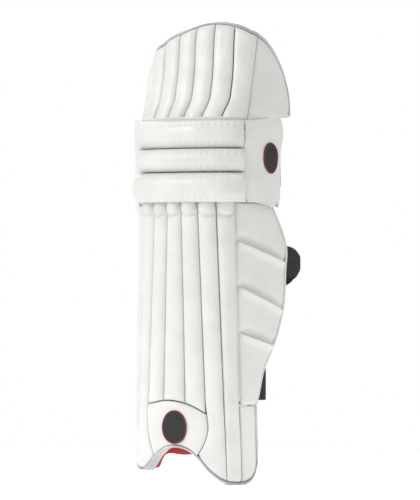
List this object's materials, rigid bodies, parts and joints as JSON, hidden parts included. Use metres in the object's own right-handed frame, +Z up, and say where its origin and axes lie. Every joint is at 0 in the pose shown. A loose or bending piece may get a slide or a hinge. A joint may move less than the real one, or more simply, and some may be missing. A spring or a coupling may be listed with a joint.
{
  "type": "cricket leg pad",
  "caption": "Right-handed cricket leg pad: seven cane rolls, three knee bolsters, a hinged thigh flap and side wing, red and white liner and three straps.",
  "frame": {"origin": "on the leg's line under the pad: midway along the shoe notch, level with the inner rear edge, at the height of the lower foot lobe's bottom", "axes": "+Z up the shin, -Y the way that the pad faces, +X towards the side wing"},
  "size_m": [0.2482, 0.1801, 0.7245],
  "materials": {
    "white_leather": "soft white polyurethane leather, fine grain, satin",
    "white_liner": "soft white polyurethane lining, satin",
    "red_mesh": "open knitted spacer mesh, red",
    "red_leather": "smooth red polyurethane lining",
    "backing": "plain cloth-faced board",
    "foam": "foam and wadding filling",
    "cane": "split cane",
    "silver_piping": "metallic silver binding",
    "ring_black": "moulded black plastic",
    "webbing_striped": "woven webbing, grey with red and black stripes",
    "webbing_black": "black woven webbing",
    "patch_black": "black hook-and-loop patch"
  },
  "bodies": {
    "shin": {"ankle_ring": "ring_black", "ankle_short_loop": "webbing_black", "ankle_strap": "webbing_striped", "calf_ring": "ring_black", "calf_short_loop": "webbing_black", "calf_strap": "webbing_striped", "foot_piping": "silver_piping", "foot_side_panel": "white_leather", "instep_cushion": "red_leather", "instep_panel": "white_leather", "instep_tab": "white_liner", "shin_backing": "backing", "shin_canes": "cane", "shin_centre_bolster": "red_mesh", "shin_roll_cover_1": "white_leather", "shin_roll_cover_2": "white_leather", "shin_roll_cover_3": "white_leather", "shin_roll_cover_4": "white_leather", "shin_roll_cover_5": "white_leather", "shin_roll_cover_6": "white_leather", "shin_roll_cover_7": "white_leather", "shin_roll_fillings": "foam", "shin_side_cushions": "white_liner"},
    "knee": {"knee_backing": "backing", "knee_bolster_bottom": "white_leather", "knee_bolster_fillings": "foam", "knee_bolster_middle": "white_leather", "knee_bolster_top": "white_leather", "knee_cushion": "red_mesh", "knee_inner_panel": "white_leather", "knee_outer_lining": "white_liner", "knee_outer_panel": "white_leather", "knee_ring": "ring_black", "knee_short_loop": "webbing_black", "knee_side_cushions": "red_leather", "knee_strap": "webbing_striped"},
    "thigh_flap": {"flap_backing": "backing", "flap_canes": "cane", "flap_liner_red": "red_leather", "flap_liner_white": "white_liner", "flap_outer_panel": "white_leather", "flap_piping": "silver_piping", "flap_rib_1": "white_leather", "flap_rib_2": "white_leather", "flap_rib_3": "white_leather", "flap_rib_4": "white_leather", "flap_rib_5": "white_leather", "flap_rib_6": "white_leather", "flap_rib_7": "white_leather"},
    "wing": {"wing_board": "backing", "wing_cushion": "white_liner", "wing_piping": "white_leather", "wing_segment_1": "white_leather", "wing_segment_2": "white_leather", "wing_segment_3": "white_leather", "wing_segment_4": "white_leather"},
    "knee_tail": {"knee_tail": "webbing_striped"},
    "calf_tail": {"calf_tail": "webbing_striped", "calf_tail_patch": "patch_black"},
    "ankle_tail": {"ankle_tail": "webbing_striped"}
  },
  "joints": [
    {"name": "knee_crease", "type": "hinge", "parent": "shin", "child": "knee", "pos_m": [0, -0.045, 0.444], "axis": [-1, 0, 0], "range_deg": [0, 20], "stiffness_Nm_per_rad": 8},
    {"name": "flap_crease", "type": "hinge", "parent": "knee", "child": "thigh_flap", "pos_m": [0, -0.05, 0.564], "axis": [-1, 0, 0], "range_deg": [0, 15], "stiffness_Nm_per_rad": 4},
    {"name": "wing_fold", "type": "hinge", "parent": "shin", "child": "wing", "pos_m": [0.09544, -0.04461, 0.28], "axis": [0.0053, -0.0705, 0.9975], "range_deg": [-15, 12], "stiffness_Nm_per_rad": 2, "deforming": ["calf_short_loop", "ankle_short_loop"]},
    {"name": "knee_tail_peel", "type": "hinge", "parent": "knee", "child": "knee_tail", "pos_m": [0.124, 0.0225, 0.481], "axis": [0, 0, -1], "range_deg": [0, 110]},
    {"name": "calf_tail_peel", "type": "hinge", "parent": "shin", "child": "calf_tail", "pos_m": [0.09, 0.064, 0.331], "axis": [0, 0, -1], "range_deg": [0, 110]},
    {"name": "ankle_tail_peel", "type": "hinge", "parent": "shin", "child": "ankle_tail", "pos_m": [0.087, 0.022, 0.156], "axis": [0, 0, -1], "range_deg": [0, 110]}
  ]
}
